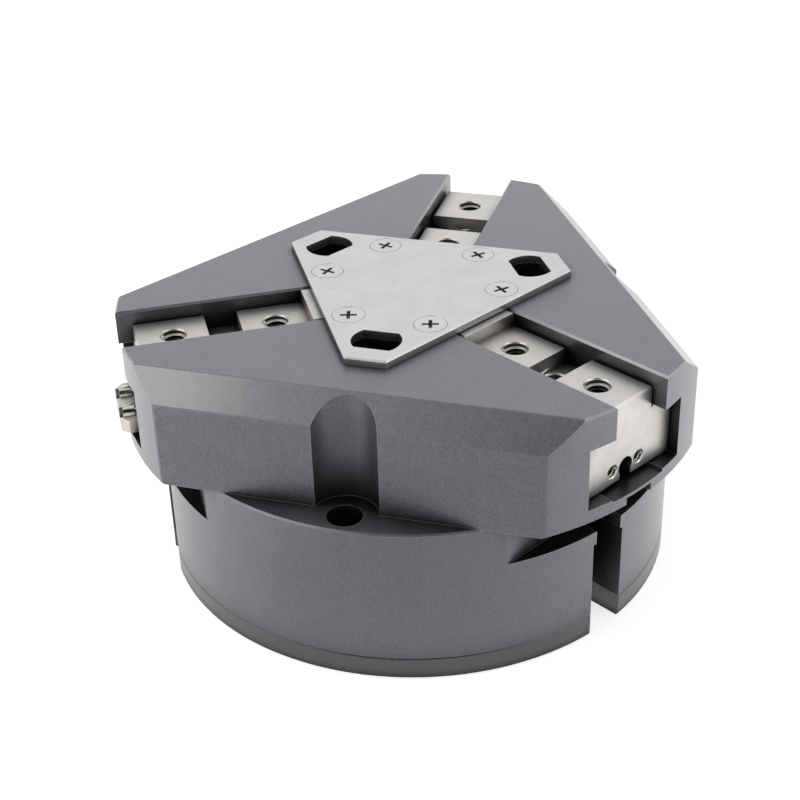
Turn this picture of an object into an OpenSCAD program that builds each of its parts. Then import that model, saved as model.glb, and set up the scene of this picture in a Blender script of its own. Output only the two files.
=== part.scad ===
// Three jaw centric gripper with a wedge hook drive.
// Z runs up the axis from the mounting face. The jaws point to -30, 90 and 210 degrees,
// the three wings between them to -90, 30 and 150 degrees. Drawn with the jaws closed.

/* [Housing] */
// Radius of the round ends of the wings
wing_r = 73; // [72:0.5:76]
// Radius of the round lower body
body_r = 65; // [64:0.5:67]
// Distance from the axis to the long flat of each wing
flat_r = 57; // [55:0.5:58.5]
// Chamfer between a wing's flat and its top
flat_chamfer = 6.5; // [3:0.5:8]
// Height of the round lower body above the base cover
lower_h = 35.5; // [34.5:0.5:40]
// Height of the wings
wing_h = 28; // [27:0.5:30]
// Broken edges of the milled body
edge_break = 0.4; // [0.2:0.1:0.6]
// Distance from the axis to the flat under each jaw
under_r = 58.5; // [56:0.5:60]
// Height of the flat under each jaw
under_h = 11; // [8:0.5:12]
// Radius of the bore between the wings' tips
centre_r = 18; // [17.8:0.1:18.6]

/* [Jaw guides] */
// Width of the slot at the wings' top
slot_w = 17.5; // [17:0.1:18]
// Width of the T-slot
tee_w = 32; // [30:0.5:33]
// Height of the T-slot
tee_h = 15.9; // [15:0.1:16.5]
// Thickness of the ledges that hold the jaws down
ledge_h = 8.5; // [8:0.1:9]
// Width of the shallow channel in the T-slot's floor
channel_w = 17.8; // [16:0.2:20]
// Depth of that channel
channel_d = 0.6; // [0.3:0.1:1]
// Play of a jaw in its guide, on each side
guide_play = 0.05; // [0.02:0.01:0.08]

/* [Sensor slots] */
// Width of the upright slot under each jaw
sensor_w = 10.6; // [8.8:0.2:12]
// Depth of the upright slot from the round body
sensor_d = 15; // [10:0.5:15]
// Width of the slot between its upper lips and in the rim
sensor_lip_w = 8.8; // [6:0.2:8.8]
// Height of the lips
sensor_lip_h = 3.6; // [2:0.2:5]

/* [Jaws] */
// Stroke of each jaw
jaw_stroke = 10; // [8:0.5:10]
// How far a closed jaw's end face lies inside the wings' round ends
jaw_inset = 4.4; // [3:0.1:6]
// Gap between a jaw's neck and the slot, on each side
neck_gap = 0.4; // [0.2:0.1:0.8]
// Drop from the wings' top to the jaw's lands
land_drop = 3.5; // [3:0.1:4]
// Distance from the end face to the outer finger thread
end_to_thread = 9; // [8:0.5:10]
// Distance between the two finger threads
thread_pitch = 25; // [24:0.5:26]
// Radius of the finger threads
thread_r = 3; // [2.5:0.1:3.5]
// Depth of the finger threads
thread_d = 14; // [10:0.5:14.5]
// Width of the cross groove between the threads
groove_w = 8.2; // [6:0.2:10]
// Depth of the cross groove
groove_d = 4; // [3:0.2:5]
// Radius of the sleeve hole in the groove
sleeve_r = 3.5; // [2.5:0.1:3.8]
// Depth of the sleeve hole
sleeve_d = 6; // [4:0.5:8]
// Distance from the inner finger thread to the cover strip's step
thread_to_strip = 8.1; // [6:0.1:9]

/* [Wedge hook] */
// Jaw travel per unit of piston travel
wedge_ratio = 0.6667; // [0.6:0.01:0.7]
// Distance from the axis to the jaw's slanted face at its top
wedge_top_r = 8; // [7.5:0.1:8.5]
// Width of each hook arm's stem
stem_w = 7; // [5:0.2:8]
// Width of each hook arm's bar
bar_w = 12; // [10:0.2:12.4]
// Thickness of the jaw's lips that the bar pulls on
hook_lip = 3.5; // [3:0.1:4]
// Thickness of each hook arm's bar
bar_t = 3.5; // [3:0.1:4]
// Height of the hook's head
head_h = 9.2; // [8:0.1:9.4]
// Radius of the hook's core
core_r = 17.4; // [15:0.1:17.5]
// Radius of the piston rod
rod_r = 10; // [8:0.5:11]
// Play of the sliding drive parts, on each side
slide_play = 0.04; // [0.02:0.01:0.08]

/* [Piston] */
// Radius of the cylinder bore
bore_r = 40; // [38:0.5:41]
// Thickness of the piston
piston_t = 9; // [8.6:0.1:10]
// Radial gap between the piston's metal and the bore
piston_gap = 0.3; // [0.2:0.05:0.4]
// Gap between the piston and each end of the cylinder
end_gap = 0.5; // [0.3:0.1:0.8]

/* [Base cover] */
// Thickness of the base cover
base_t = 6; // [5.6:0.1:8]
// Radius of the three through holes for mounting
mount_hole_r = 4.25; // [3.5:0.05:4.5]
// Wall between a mounting hole and the round body's outside
mount_wall = 1.75; // [1.5:0.05:2.5]
// Radius of the tool clearance above each mounting hole
scallop_r = 8; // [7:0.1:8.2]
// Radius of the circle of base cover screws and pins
base_screw_circle = 48; // [47.5:0.1:49]
// Radius of the circle of locating holes
locate_circle = 58; // [57.5:0.1:59]
// Radius of the locating holes
locate_r = 3; // [2:0.1:3.2]

/* [Cover plate] */
// Distance from the axis to the plate's long edges
plate_long_r = 24.2; // [24:0.1:25]
// Distance from the axis to the plate's short edges
plate_short_r = 39.7; // [38:0.1:41]
// Thickness of the cover plate
plate_t = 2; // [2:0.1:2.6]
// Distance of each pair of plate screws from the axis
screw_r = 20; // [19.8:0.1:21]
// Half of the distance between the screws of a pair
screw_t = 10.1; // [9.8:0.1:10.6]
// Radius of the round part of the double-D holes
dd_r = 6; // [5:0.1:6.2]
// Distance between the two flats of a double-D hole
dd_flats = 8.4; // [7:0.1:9]
// Distance of the double-D holes from the axis
dd_place = 30.5; // [30:0.1:31]

/* [Air ports] */
// Radius of the port threads
port_r = 4.4; // [3:0.1:4.6]
// Depth of the port threads
port_d = 9; // [7:0.5:10]
// Radius of the drilled air ways
way_r = 1.25; // [0.8:0.05:1.3]

/* [Hidden] */

$fn = 64;
over = 1;            // how far a cutting tool runs past a face
reach = 100;         // longer than any cut needs
jaw_angles = [-30, 90, 210];
wing_angles = [-90, 30, 150];

// heights of the housing
rim_z = base_t + lower_h;
top_z = rim_z + wing_h;
tee_top_z = top_z - ledge_h;
tee_floor_z = tee_top_z - tee_h;
channel_z = tee_floor_z - channel_d;
notch_roof = 0.7;    // web between the channel and the notch in the rim
under_z = rim_z - under_h;
under_step = 0.2;    // between the flat's ceiling and the rim's underside

// heights of the drive, with the jaws closed
piston_stroke = jaw_stroke / wedge_ratio;
piston_z = base_t + end_gap;
piston_top_z = piston_z + piston_t;
ceiling_z = piston_top_z + piston_stroke + end_gap;
pocket_d = 3.1;      // depth of the pocket for the hook below the T-slot's floor
pocket_z = tee_floor_z - pocket_d;
head_gap = 0.3;
head_z = pocket_z + head_gap;

// the jaws
neck_w = slot_w - 2 * neck_gap;
jaw_w = tee_w - 2 * guide_play;
jaw_z = tee_floor_z + guide_play;
shoulder_z = tee_top_z - guide_play;
land_z = top_z - land_drop;
strip_gap = 0.2;     // between the jaw's cover strip and the cover plate
strip_z = top_z - strip_gap;
jaw_end_r = wing_r - jaw_inset;
outer_thread_r = jaw_end_r - end_to_thread;
inner_thread_r = outer_thread_r - thread_pitch;
groove_mid_r = outer_thread_r - thread_pitch / 2;
strip_end_r = inner_thread_r - thread_to_strip;
jaw_chamfer = 0.4;
relief_w = 15;       // shallow relief under each jaw
relief_d = 0.5;
undercut = 0.6;      // relief notch where the neck meets the shoulders
lead_in = 0.3;       // chamfer at the mouth of a hole

// the wedge
wedge_angle = atan(wedge_ratio);
slot_roof_z = head_z + head_h + piston_stroke + head_gap;

// threads in the jaws' end faces
end_thread_r = 1.5;
end_thread_t = 4.6;
end_thread_h = 3.75; // above the jaw's underside
end_thread_d = 9;
keyhole_r = 2.4;
keyhole_h = 3.3;
keyhole_w = 3.8;
keyhole_d = 10;

// switch cam on the left jaw
cam_t = 6.4;
cam_w = 19;
cam_h = 3.4;
cam_lift = 0.85;     // above the jaw's underside
cam_corner = 2;      // chamfer on the two outer corners
cam_head_r = 2.3;
cam_head_h = 2.8;
cam_head_in = 0.9;   // how far the heads lie behind the cam's outer face
cam_key_r = 1.3;     // hexagon socket, across corners / 2
cam_screw_d = 8;     // how deep the cam's screws reach into the jaw

// base cover fixings
mount_circle = body_r - mount_wall - mount_hole_r;
base_screw_spread = 25;   // degrees from the wing's middle
base_screw_r = 2.5;
base_head_r = 5;
base_screw_l = 16;
pin_r = 2;
pin_l = 10;
pin_z = base_t - 4;
locate_angles = [-60, 120];
fixing_gap = 0.05;

// seals
seal_ring_r = 0.95;       // section radius of the base cover's O-ring
seal_groove_w = 2.4;
seal_groove_d = 2;
seal_circle = bore_r + 2.8;
bumper_r = 24;
bumper_w = 4;
bumper_h = 2.05;
bumper_groove_d = 1.6;
bush_t = 2.5;
bush_gap = 0.2;      // between the rod seal's recess and the bush
rod_seal_t = 4;
retainer_h = 1.4;
retainer_drop = 0.2;
rod_recess_z = ceiling_z + retainer_drop + retainer_h + rod_seal_t;
piston_seal_t = 3.8;
piston_seal_h = 3.2;
piston_seal_z = piston_z + 2.3;
guide_ring_t = 1.5;
guide_ring_h = 2.2;
guide_ring_z = piston_seal_z + piston_seal_h + 0.8;

// piston bolt
bolt_r = 3;
bolt_head_r = 5;
bolt_head_h = 5.6;
bolt_l = 20;
bolt_seat_t = 3;
o_ring_circle = 6.4;
o_ring_r = 0.8;

// plate screws
plate_shank_r = 2;
plate_head_r = 4.05;
plate_screw_l = 10;
plate_edge = 0.4;
dd_pocket_d = 14;

// air ports on the wing at 150 degrees, hidden from the front
port_wing = 150;
port_spread = 12;    // degrees from the wing's middle
low_port_z = base_t + 8;
high_port_z = ceiling_z - 4;
spot_r = 7;
spot_d = 0.7;

dark_anodised = [0.42, 0.42, 0.44];
bright_plate = [0.80, 0.81, 0.82];
warm_steel = [0.78, 0.76, 0.73];
plain_steel = [0.60, 0.60, 0.61];
bronze = [0.72, 0.52, 0.28];
black_rubber = [0.08, 0.08, 0.08];
white_polymer = [0.86, 0.85, 0.80];

module at_jaws() { for (a = jaw_angles) rotate(a) children(); }

module at_wings() { for (a = wing_angles) rotate(a) children(); }

// Extrudes an outline drawn across a jaw's way, x = sideways and y = height, from the axis outwards
module along_jaw(from_r, to_r) {
    translate([from_r, 0, 0]) rotate([90, 0, 90]) linear_extrude(to_r - from_r) children();
}

// A box centred across a jaw's or wing's way, from one radius to another and one height to another
module radial_box(from_r, to_r, w, from_z, to_z) {
    translate([from_r, -w / 2, from_z]) cube([to_r - from_r, w, to_z - from_z]);
}

// A drilled hole with a chamfered mouth at its top
module drilled(r, from_z, to_z, mouth = lead_in) {
    translate([0, 0, from_z]) cylinder(r = r, h = to_z - from_z + over);
    translate([0, 0, to_z - mouth]) cylinder(r1 = r, r2 = r + mouth + over, h = mouth + over);
}

// ---------------------------------------------------------------- housing

// The round lower body and the disc that the wings are milled from
module turned_body() {
    e = edge_break;
    rotate_extrude() polygon([[0, base_t], [body_r - e / 2, base_t], [body_r, base_t + e / 2],
                              [body_r, rim_z], [wing_r - e, rim_z], [wing_r, rim_z + e],
                              [wing_r, top_z - e], [wing_r - e, top_z], [0, top_z]]);
}

// Breaks the shelf's outer edge outside a wing's flat
module shelf_edge_cut() {
    e = edge_break + over;
    intersection() {
        rotate_extrude() polygon([[body_r - e, rim_z + over], [body_r + over, rim_z + over],
                                  [body_r + over, rim_z - e]]);
        radial_box(flat_r, reach, reach, 0, reach);
    }
}

// The stock outside a wing's long flat and its chamfer, with broken edges
module wing_flat_cut() {
    e = 0.6 * edge_break;
    rotate([90, 0, 0]) linear_extrude(2 * reach, center = true)
        polygon([[flat_r, rim_z], [flat_r, top_z - flat_chamfer - e],
                 [flat_r - e, top_z - flat_chamfer + e / 2],
                 [flat_r - flat_chamfer + e / 2, top_z - e],
                 [flat_r - flat_chamfer - e, top_z], [flat_r - flat_chamfer, top_z + over],
                 [reach, top_z + over], [reach, rim_z]]);
}

// Takes the sharp corner off where a long flat meets the wing's round end
module wing_corner_cut() {
    corner = acos(flat_r / wing_r);
    for (s = [-1, 1]) rotate(s * corner / 2)
        radial_box(wing_r * cos(corner / 2) - edge_break / 4, reach, reach, rim_z, top_z + over);
}

module tee_slot_cut() {
    e = 1.25 * edge_break;
    s = slot_w / 2;
    t = tee_w / 2;
    c = channel_w / 2;
    right = [[c, channel_z], [c, tee_floor_z], [t, tee_floor_z], [t, tee_top_z], [s, tee_top_z],
             [s, top_z - e], [s + e + over, top_z + over]];
    left = [for (i = [len(right) - 1:-1:0]) [-right[i][0], right[i][1]]];
    along_jaw(0, reach) polygon(concat(right, left));
}

// Upright slot for a proximity switch, from the mounting face up into the rim
module sensor_slot_cut(from_z) {
    inner_r = body_r - sensor_d;
    radial_box(inner_r, reach, sensor_w, from_z, under_z - sensor_lip_h);
    radial_box(inner_r, reach, sensor_lip_w, from_z, channel_z - notch_roof);
}

// Room for a hook arm at the bottom of its travel
module arm_pocket_cut() {
    arm_r = wedge_face_r(head_z) + (hook_lip + bar_t) / cos(wedge_angle) + over;
    radial_box(0, arm_r, bar_w + 2 * over, pocket_z, tee_floor_z + over);
}

module air_way(angle, port_z, end_z) {
    inner_r = body_r - port_d;
    run = inner_r - bore_r + over;
    rotate(angle) {
        translate([inner_r, 0, port_z]) rotate([0, 90, 0]) {
            cylinder(r = port_r, h = reach);
            translate([0, 0, port_d - spot_d]) cylinder(r = spot_r, h = reach);
            translate([0, 0, port_d - spot_d - lead_in]) cylinder(r1 = port_r, r2 = port_r + over, h = over);
        }
        translate([inner_r + over, 0, port_z])
            rotate([0, -90 - atan((port_z - end_z) / run), 0])
                cylinder(r = way_r, h = norm([run + over, port_z - end_z]));
    }
}

module double_d(r, flats) {
    intersection() {
        circle(r);
        square([flats, 4 * r], center = true);
    }
}

module housing() {
    color(dark_anodised) difference() {
        turned_body();
        at_wings() {
            wing_flat_cut();
            wing_corner_cut();
            shelf_edge_cut();
        }
        at_jaws() {
            tee_slot_cut();
            sensor_slot_cut(base_t - over);
            radial_box(under_r, reach, reach, under_z, rim_z - under_step);
            arm_pocket_cut();
        }
        at_wings() {
            translate([mount_circle, 0, 0]) {
                translate([0, 0, -over]) cylinder(r = mount_hole_r, h = reach);
                translate([0, 0, rim_z]) cylinder(r = scallop_r, h = reach);
            }
            for (s = [-1, 1]) {
                translate([screw_r, s * screw_t, 0]) drilled(plate_shank_r + fixing_gap, tee_top_z - over, top_z);
                rotate(s * base_screw_spread) translate([base_screw_circle, 0, base_t - over])
                    cylinder(r = base_screw_r + fixing_gap, h = base_screw_l - base_t + 2 * over);
            }
            translate([dd_place, 0, top_z - dd_pocket_d]) linear_extrude(reach) double_d(dd_r, dd_flats);
        }
        for (a = [wing_angles[1], wing_angles[2]]) rotate(a) translate([base_screw_circle, 0, base_t - over])
            cylinder(r = pin_r + fixing_gap, h = pin_z + pin_l - base_t + over + fixing_gap);
        translate([0, 0, pocket_z]) cylinder(r = centre_r, h = reach);
        translate([0, 0, -over]) cylinder(r = bore_r, h = ceiling_z + over);
        translate([0, 0, ceiling_z - over]) cylinder(r = rod_r + rod_seal_t, h = rod_recess_z - ceiling_z + over);
        translate([0, 0, ceiling_z]) cylinder(r = rod_r + slide_play + bush_t + fixing_gap, h = reach);
        air_way(port_wing - port_spread, low_port_z, base_t + way_r + fixing_gap);
        air_way(port_wing + port_spread, high_port_z, ceiling_z - way_r - fixing_gap);
    }
}

// ---------------------------------------------------------------- base cover and its fixings

module base_cover() {
    e = edge_break;
    color(dark_anodised) difference() {
        rotate_extrude() polygon([[0, 0], [body_r - 1.5 * e, 0], [body_r, 1.5 * e],
                                  [body_r, base_t - e / 2], [body_r - e / 2, base_t], [0, base_t]]);
        at_jaws() sensor_slot_cut(-over);
        at_wings() {
            translate([mount_circle, 0, -over]) cylinder(r = mount_hole_r, h = reach);
            for (s = [-1, 1]) rotate(s * base_screw_spread) translate([base_screw_circle, 0, 0]) {
                translate([0, 0, -over]) cylinder(r = base_screw_r + 4 * fixing_gap, h = reach);
                translate([0, 0, -over]) cylinder(r1 = base_head_r + over + fixing_gap,
                                                  r2 = base_screw_r + fixing_gap, h = base_head_r - base_screw_r + over);
            }
        }
        for (a = [wing_angles[1], wing_angles[2]]) rotate(a) translate([base_screw_circle, 0, pin_z - fixing_gap])
            cylinder(r = pin_r + fixing_gap, h = reach);
        for (a = locate_angles) rotate(a) translate([locate_circle, 0, -over]) cylinder(r = locate_r, h = reach);
        translate([0, 0, base_t - seal_groove_d]) difference() {
            cylinder(r = seal_circle + seal_groove_w / 2, h = reach);
            translate([0, 0, -over]) cylinder(r = seal_circle - seal_groove_w / 2, h = 2 * reach);
        }
        translate([0, 0, base_t - bumper_groove_d]) difference() {
            cylinder(r = bumper_r + bumper_w + fixing_gap, h = reach);
            translate([0, 0, -over]) cylinder(r = bumper_r - fixing_gap, h = 2 * reach);
        }
    }
}

// Countersunk screws, heads flush with the mounting face
module base_cover_screws() {
    sink = 0.2;
    cone = base_head_r - base_screw_r;
    color(plain_steel) at_wings() for (s = [-1, 1]) rotate(s * base_screw_spread)
        translate([base_screw_circle, 0, 0]) difference() {
            union() {
                translate([0, 0, sink]) cylinder(r1 = base_head_r - sink, r2 = base_screw_r, h = cone - sink);
                translate([0, 0, sink]) cylinder(r = base_screw_r, h = base_screw_l - sink);
            }
            translate([0, 0, sink - over]) cylinder(r = base_screw_r * 0.66, h = over + cone * 0.7, $fn = 6);
        }
}

module base_cover_pins() {
    color(plain_steel) for (a = [wing_angles[1], wing_angles[2]]) rotate(a)
        translate([base_screw_circle, 0, pin_z]) cylinder(r = pin_r, h = pin_l);
}

module base_cover_seal() {
    color(black_rubber) translate([0, 0, base_t - seal_groove_d / 2])
        rotate_extrude() translate([seal_circle, 0]) circle(seal_ring_r, $fn = 24);
}

module bumper_ring() {
    color(black_rubber) translate([0, 0, base_t - bumper_groove_d]) difference() {
        cylinder(r = bumper_r + bumper_w, h = bumper_h);
        translate([0, 0, -over]) cylinder(r = bumper_r, h = reach);
    }
}

// ---------------------------------------------------------------- cover plate and its screws

// Distance of a plate corner from the middle of its short edge
function plate_corner_t() = (2 * plate_long_r - plate_short_r) / sqrt(3);

module cover_plate() {
    corners = [for (a = wing_angles, s = [-1, 1])
        [plate_short_r * cos(a) - s * plate_corner_t() * sin(a),
         plate_short_r * sin(a) + s * plate_corner_t() * cos(a)]];
    color(bright_plate) difference() {
        translate([0, 0, top_z]) linear_extrude(plate_t) polygon(corners);
        at_jaws() plate_edge_cut(plate_long_r);
        at_wings() {
            plate_edge_cut(plate_short_r);
            for (s = [-1, 1]) translate([screw_r, s * screw_t, top_z - over]) {
                cylinder(r = plate_shank_r + 3 * fixing_gap, h = reach);
                translate([0, 0, over + plate_t - (plate_head_r - plate_shank_r)])
                    cylinder(r1 = plate_shank_r + 2 * fixing_gap, r2 = plate_head_r + 2 * fixing_gap + over,
                             h = plate_head_r - plate_shank_r + over);
            }
            translate([dd_place, 0, 0]) linear_extrude(reach) double_d(dd_r, dd_flats);
        }
    }
}

// Bevels a straight edge of the plate that lies at radius r
module plate_edge_cut(r) {
    translate([r, 0, top_z + plate_t]) rotate([0, 45, 0])
        cube([plate_edge * sqrt(2), reach, plate_edge * sqrt(2)], center = true);
}

module cover_plate_screws() {
    cone = plate_head_r - plate_shank_r;
    color(bright_plate) at_wings() for (s = [-1, 1]) translate([screw_r, s * screw_t, top_z + plate_t - fixing_gap])
        difference() {
            union() {
                translate([0, 0, -cone]) cylinder(r1 = plate_shank_r, r2 = plate_head_r, h = cone);
                translate([0, 0, -plate_screw_l]) cylinder(r = plate_shank_r, h = plate_screw_l);
            }
            for (q = [15, 105]) rotate(q) cube([4, 0.8, 2.4], center = true);
        }
}

// ---------------------------------------------------------------- rod guide and seals in the housing

module ring(inner_r, outer_r, from_z, h) {
    translate([0, 0, from_z]) difference() {
        cylinder(r = outer_r, h = h);
        translate([0, 0, -over]) cylinder(r = inner_r, h = h + 2 * over);
    }
}

module rod_bush() {
    color(bronze) ring(rod_r + slide_play, rod_r + slide_play + bush_t,
                        rod_recess_z + bush_gap, pocket_z - rod_recess_z - bush_gap);
}

module rod_seal() {
    color(black_rubber) ring(rod_r + slide_play, rod_r + rod_seal_t - fixing_gap,
                             ceiling_z + retainer_drop + retainer_h, rod_seal_t - fixing_gap);
}

module seal_retainer() {
    color(plain_steel) ring(rod_r + 6 * slide_play, rod_r + rod_seal_t - fixing_gap,
                            ceiling_z + retainer_drop, retainer_h);
}

// ---------------------------------------------------------------- moving drive

// Radius of the jaws' slanted face at height z
function wedge_face_r(z) = wedge_top_r + (strip_z - z) * wedge_ratio;

// Puts x square to the slanted face, into the jaw, and z along the slant
module at_wedge() {
    translate([wedge_top_r, 0, strip_z]) rotate([0, -wedge_angle, 0]) children();
}

module hook_arm() {
    at_wedge() {
        radial_box(-core_r, hook_lip + 2 * slide_play, stem_w, -reach, reach);
        radial_box(hook_lip + slide_play, hook_lip + bar_t, bar_w, -reach, reach);
    }
}

module wedge_hook() {
    color(plain_steel) difference() {
        union() {
            translate([0, 0, piston_top_z]) cylinder(r = rod_r, h = head_z - piston_top_z + over);
            translate([0, 0, head_z]) cylinder(r = core_r, h = head_h);
            at_jaws() intersection() {
                hook_arm();
                radial_box(0.7 * core_r, reach, reach, head_z, head_z + head_h);
            }
        }
        translate([0, 0, piston_top_z - over])
            cylinder(r = bolt_r + fixing_gap, h = bolt_l - bolt_seat_t + 2 * over);
    }
}

module piston() {
    outer = bore_r - piston_gap;
    seat_z = piston_top_z - bolt_seat_t;
    color(bright_plate) difference() {
        translate([0, 0, piston_z]) cylinder(r = outer, h = piston_t);
        ring(bore_r - slide_play - piston_seal_t - fixing_gap, bore_r + over,
             piston_seal_z - fixing_gap, piston_seal_h + 2 * fixing_gap);
        ring(bore_r - slide_play - guide_ring_t - fixing_gap, bore_r + over,
             guide_ring_z - fixing_gap, guide_ring_h + 2 * fixing_gap);
        translate([0, 0, piston_z - over]) cylinder(r = bolt_head_r + 0.5, h = seat_z - piston_z + over);
        translate([0, 0, piston_z]) cylinder(r = bolt_r + 0.2, h = reach);
        ring(o_ring_circle - o_ring_r - fixing_gap, o_ring_circle + o_ring_r + fixing_gap,
             piston_top_z - 2 * o_ring_r - fixing_gap, reach);
    }
}

module piston_seal() {
    color(black_rubber) ring(bore_r - slide_play - piston_seal_t, bore_r - slide_play, piston_seal_z, piston_seal_h);
}

module piston_guide_ring() {
    color(white_polymer) ring(bore_r - slide_play - guide_ring_t, bore_r - slide_play, guide_ring_z, guide_ring_h);
}

module piston_bolt() {
    seat_z = piston_top_z - bolt_seat_t;
    color(plain_steel) difference() {
        union() {
            translate([0, 0, seat_z - bolt_head_h]) cylinder(r = bolt_head_r, h = bolt_head_h);
            translate([0, 0, seat_z - over]) cylinder(r = bolt_r, h = bolt_l + over);
        }
        translate([0, 0, seat_z - bolt_head_h - over]) cylinder(r = bolt_r * 0.95, h = over + bolt_head_h / 2, $fn = 6);
    }
}

module piston_o_ring() {
    color(black_rubber) translate([0, 0, piston_top_z - o_ring_r - fixing_gap / 2])
        rotate_extrude() translate([o_ring_circle, 0]) circle(o_ring_r - fixing_gap / 2, $fn = 24);
}

// ---------------------------------------------------------------- jaws

// Half of a jaw's section, from the middle of its underside up to a given top
function jaw_half(top) = let (n = neck_w / 2, w = jaw_w / 2, c = jaw_chamfer, f = relief_w / 2)
    [[f, jaw_z + relief_d], [f, jaw_z], [w - c, jaw_z], [w, jaw_z + c], [w, shoulder_z - c],
     [w - c, shoulder_z], [n + undercut, shoulder_z], [n + undercut, shoulder_z - undercut],
     [n, shoulder_z - undercut], [n, top - c], [n - c, top]];

module jaw_section(top) {
    half = jaw_half(top);
    polygon(concat(half, [for (i = [len(half) - 1:-1:0]) [-half[i][0], half[i][1]]]));
}

// The T-slot along the slant that the hook's arm runs in
module wedge_slot_cut() {
    intersection() {
        at_wedge() {
            radial_box(-over, hook_lip + over, stem_w + 4 * slide_play, -reach, reach);
            radial_box(hook_lip, hook_lip + bar_t + slide_play, bar_w + 4 * slide_play, -reach, reach);
        }
        radial_box(-reach, reach, reach, 0, slot_roof_z);
    }
}

// Chamfers the end face's top edge, underside edge and upright edges
module jaw_end_cut() {
    d = jaw_chamfer * sqrt(2);
    for (z = [jaw_z, land_z]) translate([jaw_end_r, 0, z]) rotate([0, 45, 0]) cube([d, reach, d], center = true);
    for (s = [-1, 1]) translate([jaw_end_r, s * jaw_w / 2, 0]) rotate(45) cube([d, d, 2 * reach], center = true);
}

module end_face_holes() {
    for (s = [-1, 1]) translate([jaw_end_r, s * end_thread_t, jaw_z + end_thread_h]) rotate([0, 90, 0]) {
        drilled(end_thread_r, -end_thread_d, 0);
    }
    translate([jaw_end_r - keyhole_d, 0, jaw_z + keyhole_h]) rotate([0, 90, 0]) cylinder(r = keyhole_r, h = reach);
    radial_box(jaw_end_r - keyhole_d, reach, keyhole_w, jaw_z - over, jaw_z + keyhole_h);
}

module jaw() {
    difference() {
        union() {
            along_jaw(0, jaw_end_r) jaw_section(land_z);
            along_jaw(0, strip_end_r) jaw_section(strip_z);
        }
        at_wedge() radial_box(-reach, 0, reach, -reach, reach);
        wedge_slot_cut();
        radial_box(groove_mid_r - groove_w / 2, groove_mid_r + groove_w / 2, reach, land_z - groove_d, reach);
        translate([groove_mid_r, 0, 0]) drilled(sleeve_r, land_z - groove_d - sleeve_d, land_z - groove_d);
        for (r = [inner_thread_r, outer_thread_r]) translate([r, 0, 0]) drilled(thread_r, land_z - thread_d, land_z);
        jaw_end_cut();
        end_face_holes();
    }
}

module jaw_right() { color(warm_steel) rotate(jaw_angles[0]) jaw(); }

module jaw_back() { color(warm_steel) rotate(jaw_angles[1]) jaw(); }

module jaw_left() { color(warm_steel) rotate(jaw_angles[2]) jaw(); }

// Steel block on the left jaw's end face that a proximity switch sees
module switch_cam() {
    cam_z = jaw_z + cam_lift;
    color(plain_steel) rotate(jaw_angles[2]) difference() {
        translate([0, 0, cam_z]) linear_extrude(cam_h)
            polygon([[jaw_end_r, -cam_w / 2], [jaw_end_r + cam_t - cam_corner, -cam_w / 2],
                     [jaw_end_r + cam_t, cam_corner - cam_w / 2], [jaw_end_r + cam_t, cam_w / 2 - cam_corner],
                     [jaw_end_r + cam_t - cam_corner, cam_w / 2], [jaw_end_r, cam_w / 2]]);
        for (s = [-1, 1]) translate([jaw_end_r, s * end_thread_t, jaw_z + end_thread_h]) rotate([0, 90, 0]) {
            translate([0, 0, -over]) cylinder(r = end_thread_r + 2 * fixing_gap, h = reach);
            translate([0, 0, cam_t - cam_head_h - cam_head_in])
                cylinder(r = cam_head_r + 2 * fixing_gap, h = reach);
        }
    }
}

module switch_cam_screws() {
    color(plain_steel) rotate(jaw_angles[2])
        for (s = [-1, 1]) translate([jaw_end_r, s * end_thread_t, jaw_z + end_thread_h]) rotate([0, 90, 0])
            difference() {
                union() {
                    translate([0, 0, -cam_screw_d])
                        cylinder(r = end_thread_r - fixing_gap, h = cam_screw_d + cam_t - cam_head_h);
                    translate([0, 0, cam_t - cam_head_h - cam_head_in]) cylinder(r = cam_head_r, h = cam_head_h);
                }
                translate([0, 0, cam_t - cam_head_in - cam_head_h / 2]) cylinder(r = cam_key_r, h = reach, $fn = 6);
            }
}

housing();
base_cover();
cover_plate();
cover_plate_screws();
base_cover_screws();
base_cover_pins();
base_cover_seal();
bumper_ring();
rod_bush();
rod_seal();
seal_retainer();
wedge_hook();
piston();
piston_seal();
piston_guide_ring();
piston_bolt();
piston_o_ring();
jaw_right();
jaw_back();
jaw_left();
switch_cam();
switch_cam_screws();
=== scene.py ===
import math

import bmesh
import bpy
from mathutils import Matrix, Vector


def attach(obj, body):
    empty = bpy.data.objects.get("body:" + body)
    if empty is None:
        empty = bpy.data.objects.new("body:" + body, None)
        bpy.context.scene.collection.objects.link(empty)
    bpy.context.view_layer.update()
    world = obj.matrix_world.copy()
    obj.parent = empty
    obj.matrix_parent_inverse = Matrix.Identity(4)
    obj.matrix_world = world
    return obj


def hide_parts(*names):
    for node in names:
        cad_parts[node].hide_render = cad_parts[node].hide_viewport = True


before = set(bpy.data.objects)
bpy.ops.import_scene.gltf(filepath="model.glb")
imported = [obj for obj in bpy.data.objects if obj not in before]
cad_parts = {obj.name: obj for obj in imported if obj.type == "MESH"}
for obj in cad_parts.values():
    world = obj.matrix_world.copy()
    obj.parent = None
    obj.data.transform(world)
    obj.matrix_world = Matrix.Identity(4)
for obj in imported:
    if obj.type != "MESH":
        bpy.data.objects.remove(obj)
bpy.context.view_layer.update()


# ---------------------------------------------------------------- studio
# The gripper stands on a white table inside a plain white tent. A soft lamp hangs at its left front
# and a weaker one at its right. The tent is open above the camera, which leaves a dark patch there, and
# darker around the left lamp, so that its mirror image doesn't burn out on the bright plate.

MM = 0.001
camera_azimuth, camera_elevation, camera_roll = (math.radians(a) for a in (16.849, 31.020, -1.739))
camera_place = Vector((97.166, -333.953, 246.730)) * MM
focal_length = 70.754

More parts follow.
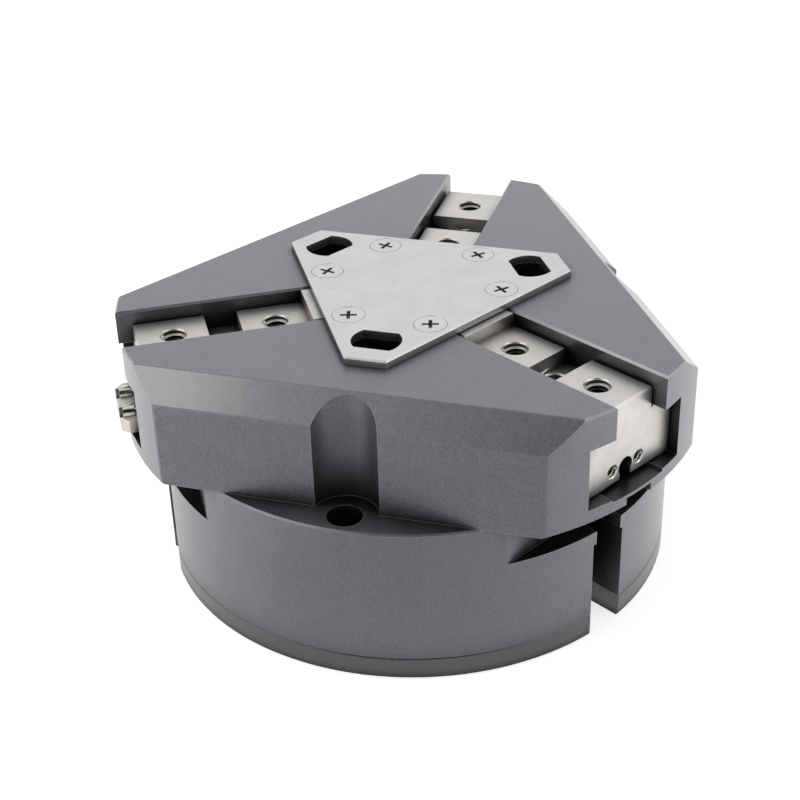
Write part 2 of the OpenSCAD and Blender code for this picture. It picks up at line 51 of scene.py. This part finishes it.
backwards = Vector((math.sin(camera_azimuth) * math.cos(camera_elevation),
                    -math.cos(camera_azimuth) * math.cos(camera_elevation),
                    math.sin(camera_elevation)))
level = (-backwards).cross(Vector((0, 0, 1))).normalized()
upright = level.cross(-backwards)
across = level * math.cos(camera_roll) + upright * math.sin(camera_roll)
above = -level * math.sin(camera_roll) + upright * math.cos(camera_roll)
aimed = Matrix((across, above, backwards)).transposed().to_4x4()
camera_data = bpy.data.cameras.new("camera")
camera_data.sensor_width = 36
camera_data.lens = focal_length
camera_data.clip_start = 0.01
camera = bpy.data.objects.new("camera", camera_data)
camera.matrix_world = Matrix.Translation(camera_place) @ aimed
bpy.context.scene.collection.objects.link(camera)
bpy.context.scene.camera = camera
bpy.context.scene.view_settings.view_transform = "Standard"


def soft_lamp(name, place, size, power):
    """An area lamp of the given width and height, turned towards the middle of the gripper."""
    middle = Vector((0, 0, 0.04))
    data = bpy.data.lights.new(name, "AREA")
    data.shape = "RECTANGLE"
    data.size, data.size_y = size
    data.energy = power
    lamp = bpy.data.objects.new(name, data)
    lamp.location = place
    lamp.rotation_euler = (middle - Vector(place)).to_track_quat("-Z", "Y").to_euler()
    bpy.context.scene.collection.objects.link(lamp)


soft_lamp("lamp_left", (-0.69, -0.43, 0.64), size=(0.85, 1.05), power=3.9)
soft_lamp("lamp_right", (0.80, -0.10, 0.45), size=(0.50, 0.70), power=1.3)


def feed(tree, socket, value):
    """Links a socket to a node's output, or sets it where the value is a plain number or vector."""
    if isinstance(value, bpy.types.NodeSocket):
        tree.links.new(value, socket)
    else:
        socket.default_value = value


def calculate(tree, operation, *values):
    """The result of a sum on sockets and plain numbers."""
    node = tree.nodes.new("ShaderNodeMath")
    node.operation = operation
    for socket, value in zip(node.inputs, values):
        feed(tree, socket, value)
    return node.outputs[0]


def compare(tree, operation, first, second):
    """The dot product of two vectors, or the distance between two points."""
    node = tree.nodes.new("ShaderNodeVectorMath")
    node.operation = operation
    feed(tree, node.inputs[0], first)
    feed(tree, node.inputs[1], second)
    return node.outputs["Value"]


def span(tree, value, low, high, start=0.0, end=1.0, smooth=False):
    """Runs from start to end while the value runs from low to high, and stays level beyond."""
    node = tree.nodes.new("ShaderNodeMapRange")
    node.interpolation_type = "SMOOTHSTEP" if smooth else "LINEAR"
    sockets = ("Value", "From Min", "From Max", "To Min", "To Max")
    for socket, number in zip(sockets, (value, low, high, start, end)):
        feed(tree, node.inputs[socket], number)
    return node.outputs["Result"]


def looked_at(tree):
    """1 for the rays that see a surface or its reflection, 0 for the rays that only light things."""
    rays = tree.nodes.new("ShaderNodeLightPath")
    seen = rays.outputs["Is Camera Ray"]
    for kind in ("Is Glossy Ray", "Is Transmission Ray"):
        seen = calculate(tree, "MAXIMUM", seen, rays.outputs[kind])
    return seen


def seen_or_mirrored(tree, seen, mirrored):
    """One brightness for what is seen directly and another for its image in a glossy surface."""
    mix = tree.nodes.new("ShaderNodeMix")
    feed(tree, mix.inputs["Factor"], tree.nodes.new("ShaderNodeLightPath").outputs["Is Glossy Ray"])
    feed(tree, mix.inputs["A"], seen)
    feed(tree, mix.inputs["B"], mirrored)
    return mix.outputs["Result"]


def white_background(tree, strength):
    """White light from all around, as strong as the number or the map given."""
    node = tree.nodes.new("ShaderNodeBackground")
    node.inputs["Color"].default_value = (1, 1, 1, 1)
    feed(tree, node.inputs["Strength"], strength)
    return node.outputs[0]


world = bpy.data.worlds.new("tent")
bpy.context.scene.world = world
world.use_nodes = True
tent = world.node_tree
tent.nodes.clear()

# what shows in glossy surfaces: white cloth, dark in the opening, dimmer around the left lamp and
# lighter again near the table
direction = tent.nodes.new("ShaderNodeTexCoord").outputs["Generated"]
towards_opening = compare(tent, "DOT_PRODUCT", direction, Vector((0.08, -0.56, 0.83)).normalized())
towards_lamp = compare(tent, "DOT_PRODUCT", direction, Vector((-0.70, -0.43, 0.59)).normalized())
height = tent.nodes.new("ShaderNodeSeparateXYZ")
feed(tent, height.inputs[0], direction)
beside_opening = span(tent, towards_opening, 0.84, 0.93, 1.0, 0.0, smooth=True)
dark_around_lamp = span(tent, towards_lamp, 0.82, 0.96, 0.0, 0.75, smooth=True)
low_wall = span(tent, height.outputs["Z"], 0.30, 0.05, 0.0, 0.25)
cloth = calculate(tent, "SUBTRACT", beside_opening, dark_around_lamp)
cloth.node.use_clamp = True
mirrored_tent = calculate(tent, "ADD", cloth, low_wall)

tent_mix = tent.nodes.new("ShaderNodeMixShader")
feed(tent, tent_mix.inputs["Fac"], looked_at(tent))
feed(tent, tent_mix.inputs[1], white_background(tent, 0.55))
feed(tent, tent_mix.inputs[2], white_background(tent, seen_or_mirrored(tent, 1.0, mirrored_tent)))
feed(tent, tent.nodes.new("ShaderNodeOutputWorld").inputs["Surface"], tent_mix.outputs[0])

bm = bmesh.new()
bmesh.ops.create_circle(bm, cap_ends=True, segments=96, radius=6)
table_mesh = bpy.data.meshes.new("table")
bm.to_mesh(table_mesh)
bm.free()
table = bpy.data.objects.new("table", table_mesh)
bpy.context.scene.collection.objects.link(table)

white_table = bpy.data.materials.new("white_table")
white_table.use_nodes = True
tree = white_table.node_tree
tree.nodes.clear()
shadow_catcher = tree.nodes.new("ShaderNodeBsdfDiffuse")
shadow_catcher.inputs["Color"].default_value = (0.62, 0.62, 0.62, 1)

# the table's image in glossy surfaces: dark in front of the gripper, and white further off
shaded_spot = (0.03, -0.20, 0)
point = tree.nodes.new("ShaderNodeTexCoord").outputs["Object"]
from_spot = compare(tree, "DISTANCE", point, shaded_spot)
near_by = span(tree, from_spot, 0.05, 0.26, 0.12, 0.80, smooth=True)
far_off = span(tree, from_spot, 0.3, 0.9, 0.0, 0.35)
mirrored_table = calculate(tree, "ADD", near_by, far_off)

glow = tree.nodes.new("ShaderNodeEmission")
feed(tree, glow.inputs["Strength"], seen_or_mirrored(tree, 0.72, mirrored_table))
glow_mask = tree.nodes.new("ShaderNodeMixShader")
feed(tree, glow_mask.inputs["Fac"], looked_at(tree))
feed(tree, glow_mask.inputs[2], glow.outputs[0])
shadow_and_glow = tree.nodes.new("ShaderNodeAddShader")
feed(tree, shadow_and_glow.inputs[0], shadow_catcher.outputs[0])
feed(tree, shadow_and_glow.inputs[1], glow_mask.outputs[0])
feed(tree, tree.nodes.new("ShaderNodeOutputMaterial").inputs["Surface"], shadow_and_glow.outputs[0])
table_mesh.materials.append(white_table)


# ---------------------------------------------------------------- housing
# The real piece is one block of aluminium, turned outside, milled at the wings, slots and chamfers
# and then hard anodised to a matt dark grey. Its edges are broken by hand and catch the light: they are
# painted lighter, partly as rubbed wear and partly as a painted highlight, and painted shade darkens
# its slots and pockets.


class Finish:
    """A material under construction: a Principled shader and short calls that add nodes to it."""

    def __init__(self, name, colour, metallic, roughness):
        self.material = bpy.data.materials.new(name)
        self.material.use_nodes = True
        self.tree = self.material.node_tree
        self.shader = self.tree.nodes["Principled BSDF"]
        self.shader.inputs["Base Color"].default_value = (*colour, 1)
        self.shader.inputs["Metallic"].default_value = metallic
        self.shader.inputs["Roughness"].default_value = roughness

    def effect(self, group, **values):
        """Places an effect in the material, with values for its inputs, and returns its outputs."""
        node = self.tree.nodes.new("ShaderNodeGroup")
        node.node_tree = group
        for key, value in values.items():
            node.inputs[key.replace("_", " ").capitalize()].default_value = value
        return node.outputs

    def tint(self, mask, colour, most=1.0):
        """The base colour runs to another colour, by up to the share `most`, where the mask is 1."""
        base = self.shader.inputs["Base Color"]
        so_far = base.links[0].from_socket if base.is_linked else base.default_value
        mix = self.tree.nodes.new("ShaderNodeMix")
        mix.data_type = "RGBA"
        feed(self.tree, mix.inputs["Factor"], calculate(self.tree, "MULTIPLY", mask, most))
        feed(self.tree, mix.inputs["A"], so_far)
        feed(self.tree, mix.inputs["B"], (*colour, 1))
        feed(self.tree, base, mix.outputs["Result"])

    def vary(self, socket, mask, low, high):
        """One of the shader's values runs from low to high with the mask."""
        feed(self.tree, self.shader.inputs[socket], span(self.tree, mask, 0.0, 1.0, low, high))

    def relief(self, height, depth):
        """Adds a height map whose full range is `depth` millimetres, on top of what is there already."""
        normal = self.shader.inputs["Normal"]
        bump = self.tree.nodes.new("ShaderNodeBump")
        bump.inputs["Strength"].default_value = 1
        bump.inputs["Distance"].default_value = depth * MM
        if normal.is_linked:
            feed(self.tree, bump.inputs["Normal"], normal.links[0].from_socket)
        feed(self.tree, bump.inputs["Height"], height)
        feed(self.tree, normal, bump.outputs["Normal"])


class Effect:
    """A shader node group under construction, whose lengths are in millimetres."""

    def __init__(self, name, inputs, outputs):
        self.tree = bpy.data.node_groups.new(name, "ShaderNodeTree")
        interface = self.tree.interface
        for socket, value in inputs.items():
            made = interface.new_socket(socket, in_out="INPUT", socket_type="NodeSocketFloat")
            made.default_value = value
        for socket in outputs:
            interface.new_socket(socket, in_out="OUTPUT", socket_type="NodeSocketFloat")
        self.given = self.tree.nodes.new("NodeGroupInput").outputs
        self.results = self.tree.nodes.new("NodeGroupOutput").inputs

    def give(self, output, value):
        feed(self.tree, self.results[output], value)

    def calc(self, operation, *values):
        return calculate(self.tree, operation, *values)

    def length(self, first, second):
        """The length of a line that goes so far along one axis and so far along another."""
        squares = (self.calc("MULTIPLY", first, first), self.calc("MULTIPLY", second, second))
        return self.calc("SQRT", self.calc("ADD", *squares))

    def ramp(self, value, low, high):
        """0 below low, 1 above high, smooth between."""
        return span(self.tree, value, low, high, smooth=True)

    def place(self):
        """The point on the object, as x, y and z in millimetres."""
        apart = self.tree.nodes.new("ShaderNodeSeparateXYZ")
        feed(self.tree, apart.inputs[0], self.tree.nodes.new("ShaderNodeTexCoord").outputs["Object"])
        return [self.calc("MULTIPLY", metres, 1 / MM) for metres in apart.outputs]

    def noise(self, x, y, z, octaves=2.0):
        vector = self.tree.nodes.new("ShaderNodeCombineXYZ")
        for socket, value in zip(vector.inputs, (x, y, z)):
            feed(self.tree, socket, value)
        noise = self.tree.nodes.new("ShaderNodeTexNoise")
        noise.inputs["Scale"].default_value = 1
        noise.inputs["Detail"].default_value = octaves
        feed(self.tree, noise.inputs["Vector"], vector.outputs[0])
        return noise.outputs["Fac"]

    def speckle(self, *sizes):
        """Spots of the given sizes along x, y and z, from 0 to 1."""
        spots = self.noise(*(self.calc("DIVIDE", axis, size) for axis, size in zip(self.place(), sizes)))
        return self.ramp(spots, 0.25, 0.75)


# fine speckle and broad clouding of a matt metal surface
group = Effect("metal_grain", {"Grain size": 0.4, "Cloud size": 9.0}, ["Grain", "Clouds"])
for output, size in (("Grain", "Grain size"), ("Clouds", "Cloud size")):
    group.give(output, group.speckle(*(group.given[size] for axis in "xyz")))
metal_grain = group.tree

# marks that run along one axis, as a cutter or a grinder leaves them: the size of a mark on each axis
group = Effect("cutter_streaks", {"Along x": 1.0, "Along y": 1.0, "Along z": 20.0}, ["Streaks"])
group.give("Streaks", group.speckle(*(group.given["Along " + axis] for axis in "xyz")))
cutter_streaks = group.tree

# rings of a face mill on the three 45 degree chamfers, around the point where it set down, and a
# painted highlight that lightens the chamfer near that point, with the pattern repeated every 120
# degrees: where that point lies from the wing's middle, the height of the chamfer's middle, how fast the
# rings follow each other and fade
group = Effect("mill_swirls", {"Set down": -48.0, "Mid height": 66.2, "Feed": 0.6, "Fade": 26.0},
               ["Rings", "Painted highlight"])
x, y, z = group.place()
from_front = group.calc("ADD", group.calc("ARCTAN2", y, x), math.radians(90))
from_wing = group.calc("WRAP", from_front, math.radians(60), math.radians(-60))
sideways = group.calc("MULTIPLY", group.length(x, y), group.calc("SINE", from_wing))
along = group.calc("SUBTRACT", sideways, group.given["Set down"])
up = group.calc("MULTIPLY", group.calc("SUBTRACT", z, group.given["Mid height"]), math.sqrt(2))
away = group.length(along, up)
broken = group.noise(*(group.calc("MULTIPLY", axis, 0.8) for axis in (x, y, z)))
wobbly = group.calc("MULTIPLY", group.calc("ADD", away, broken), 2 * math.pi)
waves = group.calc("SINE", group.calc("DIVIDE", wobbly, group.given["Feed"]))
lean = group.tree.nodes.new("ShaderNodeSeparateXYZ")
feed(group.tree, lean.inputs[0], group.tree.nodes.new("ShaderNodeNewGeometry").outputs["True Normal"])
at_45_degrees = group.calc("COMPARE", lean.outputs["Z"], math.sqrt(0.5), 0.05)
near_top = group.calc("GREATER_THAN", z, 60.0)
on_chamfer = group.calc("MULTIPLY", at_45_degrees, near_top)
nearness = group.calc("DIVIDE", group.given["Fade"], group.calc("ADD", away, group.given["Fade"]))
strength = group.calc("MULTIPLY", group.calc("ADD", 0.05, nearness), on_chamfer)
strength = group.calc("MULTIPLY", strength, group.ramp(broken, 0.3, 0.6))
group.give("Rings", group.calc("MULTIPLY", group.calc("MULTIPLY_ADD", waves, 0.5, 0.5), strength))
# the painted highlight is full near the set-down point and gone 38 mm from it
highlight_full_up_to, highlight_gone_from = 2.0, 38.0
group.give("Painted highlight", group.calc("MULTIPLY", group.ramp(away, highlight_gone_from, highlight_full_up_to), on_chamfer))
mill_swirls = group.tree

# edges lit up, partly for rubbed wear and partly as a painted highlight, and painted shade in corners and
# recesses: the width of an edge, how far a corner's walls may stand apart, and how open a spot may be
# before it is no longer fully dark
group = Effect("edges_and_corners", {"Edge width": 0.25, "Corner reach": 10.0, "Dark below": 0.24},
               ["Edges", "Corners"])
rounded = group.tree.nodes.new("ShaderNodeBevel")
rounded.samples = 6
feed(group.tree, rounded.inputs["Radius"], group.calc("MULTIPLY", group.given["Edge width"], MM))
unrounded = group.tree.nodes.new("ShaderNodeNewGeometry").outputs["Normal"]
alike = compare(group.tree, "DOT_PRODUCT", rounded.outputs["Normal"], unrounded)
group.give("Edges", group.ramp(group.calc("SUBTRACT", 1.0, alike), 0.01, 0.16))
# Corners: painted shade, strongest where the surface is closed in by nearby walls
hollow = group.tree.nodes.new("ShaderNodeAmbientOcclusion")
hollow.samples = 8
feed(group.tree, hollow.inputs["Distance"], group.calc("MULTIPLY", group.given["Corner reach"], MM))
openness = group.ramp(hollow.outputs["AO"], group.given["Dark below"], 0.98)
group.give("Corners", group.calc("SUBTRACT", 1.0, openness))
edges_and_corners = group.tree


def scaled(colour, factor):
    """A lighter or darker form of a colour."""
    return [channel * factor for channel in colour]


def anodised(name, colour, edge, corner_reach):
    """Hard anodised aluminium, with lighter edges, partly rubbed wear and partly a painted highlight, and
    painted shade in the corners.
    """
    metal = Finish(name, colour, metallic=0.72, roughness=0.42)
    metal.shader.inputs["Specular IOR Level"].default_value = 0.3
    metal.shader.inputs["Coat Roughness"].default_value = 0.32
    metal.shader.inputs["Coat IOR"].default_value = 1.6
    grain = metal.effect(metal_grain, grain_size=0.40, cloud_size=11)
    stains = metal.effect(cutter_streaks, along_x=2.2, along_y=2.2, along_z=9.0)
    streaks = metal.effect(cutter_streaks, along_x=0.6, along_y=0.6, along_z=9.0)
    swirls = metal.effect(mill_swirls)
    edges_and_shade = metal.effect(edges_and_corners, edge_width=0.26, corner_reach=corner_reach, dark_below=0.35)
    metal.tint(grain["Clouds"], scaled(colour, 1.16))
    metal.tint(stains["Streaks"], scaled(colour, 0.88), 0.5)
    metal.tint(grain["Grain"], scaled(colour, 1.6), 0.8)
    # painted highlight near where the mill set down on each chamfer
    metal.tint(swirls["Painted highlight"], (0.345, 0.340, 0.345), 0.9)
    metal.tint(swirls["Rings"], (0.44, 0.44, 0.45), 0.28)
    # painted shade in corners and recesses, then the edge colour, partly rubbed wear and partly a painted
    # highlight
    metal.tint(edges_and_shade["Corners"], (0.006, 0.006, 0.007), 0.97)
    metal.tint(edges_and_shade["Edges"], edge, 0.88)
    metal.vary("Coat Weight", edges_and_shade["Corners"], 0.75, 0.0)
    metal.vary("Roughness", grain["Grain"], 0.36, 0.46)
    metal.relief(grain["Grain"], 0.008)
    metal.relief(streaks["Streaks"], 0.003)
    metal.relief(swirls["Rings"], 0.006)
    return metal.material


def give_finish(material, *pieces):
    """Puts a material on pieces that keep their mesh from the CAD."""
    for name in pieces:
        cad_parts[name].material_slots[0].material = material


# the edge colour is partly rubbed wear and partly a painted highlight
dark_grey, worn_and_lit_edge = (0.128, 0.132, 0.146), (0.46, 0.46, 0.48)
give_finish(anodised("hard_anodised", dark_grey, worn_and_lit_edge, corner_reach=15), "housing")


# ---------------------------------------------------------------- base cover
# A turned and slotted plate of the same aluminium that closes the cylinder from below. Its grey is
# painted darker than the housing's, as painted shade, and its edges are darkened nearly to black. It is
# held by six countersunk screws and located by two dowels.

shaded_grey, near_black_edge = (0.070, 0.072, 0.077), (0.02, 0.02, 0.02)
give_finish(anodised("base_anodised", shaded_grey, near_black_edge, corner_reach=4), "base_cover")


def plain_metal(name, colour, roughness, grain_depth=0.008):
    """Bare metal with a fine grain, faint clouding and painted shade in its corners."""
    metal = Finish(name, colour, metallic=1.0, roughness=roughness)
    grain = metal.effect(metal_grain, grain_size=0.3, cloud_size=5)
    edges_and_shade = metal.effect(edges_and_corners, edge_width=0.15, corner_reach=4)
    metal.tint(grain["Clouds"], scaled(colour, 0.84))
    # painted shade in corners and recesses
    metal.tint(edges_and_shade["Corners"], (0.02, 0.02, 0.02), 0.6)
    metal.vary("Roughness", grain["Grain"], roughness - 0.05, roughness + 0.08)
    metal.relief(grain["Grain"], grain_depth)
    return metal.material


give_finish(plain_metal("plain_steel", (0.42, 0.42, 0.43), 0.30),
            "base_cover_screws", "base_cover_pins", "seal_retainer", "piston_bolt")


# ---------------------------------------------------------------- cover plate and its screws
# A laser cut and brushed plate over the middle, with its edges bevelled, and six countersunk screws
# with cross recesses. Plate and screws are bright, with fine scratches from handling.

# long fine scratches in three directions
group = Effect("scratches", {"Length": 9.0, "Width": 0.16, "Turn": 20.0}, ["Scratches"])
x, y, z = group.place()
marks = 0.0
for extra in (0.0, 67.0, 139.0):
    turn = group.calc("RADIANS", group.calc("ADD", group.given["Turn"], extra))
    cosine, sine = group.calc("COSINE", turn), group.calc("SINE", turn)
    ahead = group.calc("ADD", group.calc("MULTIPLY", x, cosine), group.calc("MULTIPLY", y, sine))
    aside = group.calc("SUBTRACT", group.calc("MULTIPLY", y, cosine), group.calc("MULTIPLY", x, sine))
    lines = group.noise(group.calc("DIVIDE", ahead, group.given["Length"]),
                        group.calc("DIVIDE", aside, group.given["Width"]),
                        group.calc("ADD", z, extra), octaves=0.0)
    marks = group.calc("MAXIMUM", marks, group.ramp(lines, 0.74, 0.82))
group.give("Scratches", marks)
scratches = group.tree


def bevelled_copy(node, name, body, width, material):
    """A merged copy of a CAD piece with its sharp edges rounded, in place of that piece."""
    sharp_angle, flat_angle = math.radians(24), math.radians(0.5)
    same_point = 0.0005 * MM
    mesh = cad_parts[node].data.copy()
    mesh.name = name
    mesh.materials.clear()
    mesh.materials.append(material)
    mesh.attributes.remove(mesh.attributes["custom_normal"])
    copy = bpy.data.objects.new(name, mesh)
    bpy.context.scene.collection.objects.link(copy)
    bm = bmesh.new()
    bm.from_mesh(mesh)
    bmesh.ops.remove_doubles(bm, verts=bm.verts, dist=same_point)
    bmesh.ops.dissolve_limit(bm, angle_limit=flat_angle, verts=bm.verts, edges=bm.edges,
                             use_dissolve_boundaries=False)
    for face in bm.faces:
        face.smooth = True
        face.material_index = 0
    bm.to_mesh(mesh)
    bm.free()
    mesh.set_sharp_from_angle(angle=sharp_angle)
    edges = copy.modifiers.new("broken_edges", "BEVEL")
    edges.width = width * MM
    edges.segments = 2
    edges.limit_method = "ANGLE"
    edges.angle_limit = sharp_angle
    edges.use_clamp_overlap = True
    edges.harden_normals = True
    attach(copy, body)
    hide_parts(node)


def bright_sheet(name, colour, edge, edge_width, shade_share):
    """Brushed bright metal with handling scratches, painted shade in its corners and a painted edge
    colour.
    """
    metal = Finish(name, colour, metallic=0.9, roughness=0.36)
    grain = metal.effect(metal_grain, grain_size=0.28, cloud_size=7)
    brushing = metal.effect(cutter_streaks, along_x=14, along_y=0.35, along_z=0.5)
    rubbed = metal.effect(scratches)
    edges_and_shade = metal.effect(edges_and_corners, edge_width=edge_width, corner_reach=16)
    metal.tint(grain["Clouds"], scaled(colour, 0.88), 0.8)
    metal.tint(grain["Grain"], scaled(colour, 0.78), 0.6)
    metal.tint(rubbed["Scratches"], (0.84, 0.84, 0.86), 0.22)
    # painted shade in corners and recesses; the edge colour is a painted highlight on the plate and a
    # dark ring on the screw heads
    metal.tint(edges_and_shade["Corners"], (0.03, 0.03, 0.03), shade_share)
    metal.tint(edges_and_shade["Edges"], edge, 0.9)
    metal.vary("Roughness", brushing["Streaks"], 0.30, 0.44)
    metal.relief(brushing["Streaks"], 0.008)
    metal.relief(grain["Grain"], 0.010)
    metal.relief(rubbed["Scratches"], -0.002)
    return metal.material


brushed_plate = bright_sheet("brushed_plate", (0.69, 0.695, 0.71), (0.86, 0.86, 0.87), 0.16, shade_share=0.95)
bevelled_copy("cover_plate", "centre_plate", "body", 0.08, brushed_plate)
screw_heads = bright_sheet("plate_screw_heads", (0.70, 0.705, 0.72), (0.09, 0.09, 0.09), 0.24, shade_share=0.5)
bevelled_copy("cover_plate_screws", "centre_plate_screws", "body", 0.05, screw_heads)


# ---------------------------------------------------------------- jaws
# Three T-shaped bars of hardened steel, ground all over. Each has two finger threads, a cross groove
# with a sleeve hole between them, and two small threads and a keyhole in its end face.

# the threads' sizes, and where their mouths are: how far out from the middle, up from the base and aside
finger_thread = {"radius": 3.0, "pitch": 1.0, "depth": 13.2}
cam_thread = {"radius": 1.5, "pitch": 0.5, "depth": 8.0}
finger_threads_out = {"inner": 34.6, "outer": 59.6}
finger_threads_up = 66.0
cam_threads_aside = {"a": -4.6, "b": 4.6}
cam_threads_out = 68.6
cam_threads_up = 48.9

steel = Finish("ground_steel", (0.71, 0.69, 0.668), metallic=0.94, roughness=0.34)
grain = steel.effect(metal_grain, grain_size=0.34, cloud_size=5)
edges_and_shade = steel.effect(edges_and_corners, edge_width=0.14, corner_reach=6)
steel.tint(grain["Clouds"], (0.62, 0.60, 0.58))
steel.tint(grain["Grain"], (0.52, 0.50, 0.475), 0.5)
# the edge colour is partly rubbed wear and partly a painted highlight, and corners get painted shade
steel.tint(edges_and_shade["Edges"], (0.85, 0.84, 0.82), 0.4)
steel.tint(edges_and_shade["Corners"], (0.03, 0.027, 0.024), 0.93)
steel.vary("Roughness", grain["Grain"], 0.28, 0.42)
steel.relief(grain["Grain"], 0.014)
ground_steel = steel.material


def thread_turns(name, body, mouth, direction, radius, pitch, depth):
    """The turns of an internal thread as one helical ridge that stands in from the hole's wall."""
    steps_a_turn = 24
    below_mouth, into_wall = 0.25, 0.02
    ridge_height = 0.54 * pitch
    root, crest = radius + into_wall, radius - ridge_height
    half_root, half_crest = 0.42 * pitch, 0.09 * pitch
    turns = int((depth - 2 * half_root) / pitch)
    corners = ((root, -half_root), (crest, -half_crest), (crest, half_crest), (root, half_root))
    bm = bmesh.new()
    profile = bm.faces.new([bm.verts.new((out, 0, up)) for out, up in corners])
    bmesh.ops.spin(bm, geom=[profile, *profile.edges, *profile.verts], cent=(0, 0, 0), axis=(0, 0, 1),
                   dvec=(0, 0, -pitch / steps_a_turn), angle=2 * math.pi * turns,
                   steps=turns * steps_a_turn, use_merge=False, use_duplicate=False)
    bmesh.ops.recalc_face_normals(bm, faces=bm.faces)
    into_hole = Matrix.Translation((0, 0, -pitch / 2 - below_mouth))
    turned = direction.to_track_quat("Z", "Y").to_matrix().to_4x4()
    placed = Matrix.Translation(mouth * MM) @ turned @ Matrix.Scale(MM, 4) @ into_hole
    bmesh.ops.transform(bm, verts=bm.verts, matrix=placed)
    mesh = bpy.data.meshes.new(name)
    bm.to_mesh(mesh)
    bm.free()
    piece = bpy.data.objects.new(name, mesh)
    bpy.context.scene.collection.objects.link(piece)
    mesh.materials.append(ground_steel)
    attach(piece, body)


upwards = Vector((0, 0, 1))
for side, degrees in (("right", -30), ("back", 90), ("left", 210)):
    outwards = Vector((math.cos(math.radians(degrees)), math.sin(math.radians(degrees)), 0))
    beside = Vector((-outwards.y, outwards.x, 0))
    body = side + "_jaw"
    bevelled_copy("jaw_" + side, "ground_jaw_" + side, body, 0.12, ground_steel)
    for place, distance in finger_threads_out.items():
        mouth = outwards * distance + upwards * finger_threads_up
        thread_turns("finger_thread_" + side + "_" + place, body, mouth, upwards, **finger_thread)
    if side != "left":
        for hand, offset in cam_threads_aside.items():
            mouth = outwards * cam_threads_out + beside * offset + upwards * cam_threads_up
            thread_turns("cam_thread_" + side + "_" + hand, body, mouth, outwards, **cam_thread)


# ---------------------------------------------------------------- switch cam
# A small milled steel block that two cap screws hold on the left jaw's end face. A proximity switch
# in the slot below sees it pass.

bevelled_copy("switch_cam", "cam_block", "left_jaw", 0.12, ground_steel)
cap_screws = plain_metal("stainless_screws", (0.62, 0.60, 0.58), 0.16, grain_depth=0.004)
bevelled_copy("switch_cam_screws", "cam_cap_screws", "left_jaw", 0.08, cap_screws)


# ---------------------------------------------------------------- drive
# The piston is turned aluminium with a rubber seal and a polymer guide ring. The wedge hook on it is
# hardened steel, ground where it runs in the jaws, and slides in a bronze bush with a rod seal.

give_finish(plain_metal("hook_steel", (0.40, 0.40, 0.41), 0.30), "wedge_hook")
give_finish(plain_metal("bronze", (0.50, 0.31, 0.12), 0.36), "rod_bush")

aluminium = Finish("turned_aluminium", (0.60, 0.60, 0.62), metallic=1.0, roughness=0.34)
turning = aluminium.effect(cutter_streaks, along_x=30, along_y=30, along_z=0.2)
aluminium.tint(turning["Streaks"], (0.50, 0.50, 0.52))
aluminium.relief(turning["Streaks"], 0.010)
give_finish(aluminium.material, "piston")

polymer = Finish("guide_polymer", (0.60, 0.57, 0.50), metallic=0.0, roughness=0.50)
grain = polymer.effect(metal_grain, grain_size=0.5, cloud_size=5)
polymer.tint(grain["Clouds"], (0.52, 0.49, 0.42))
polymer.relief(grain["Grain"], 0.008)
give_finish(polymer.material, "piston_guide_ring")

rubber = Finish("nitrile_rubber", (0.022, 0.022, 0.023), metallic=0.0, roughness=0.60)
grain = rubber.effect(metal_grain, grain_size=0.4, cloud_size=5)
rubber.tint(grain["Clouds"], (0.032, 0.032, 0.033))
rubber.relief(grain["Grain"], 0.010)
give_finish(rubber.material, "base_cover_seal", "bumper_ring", "rod_seal", "piston_seal", "piston_o_ring")
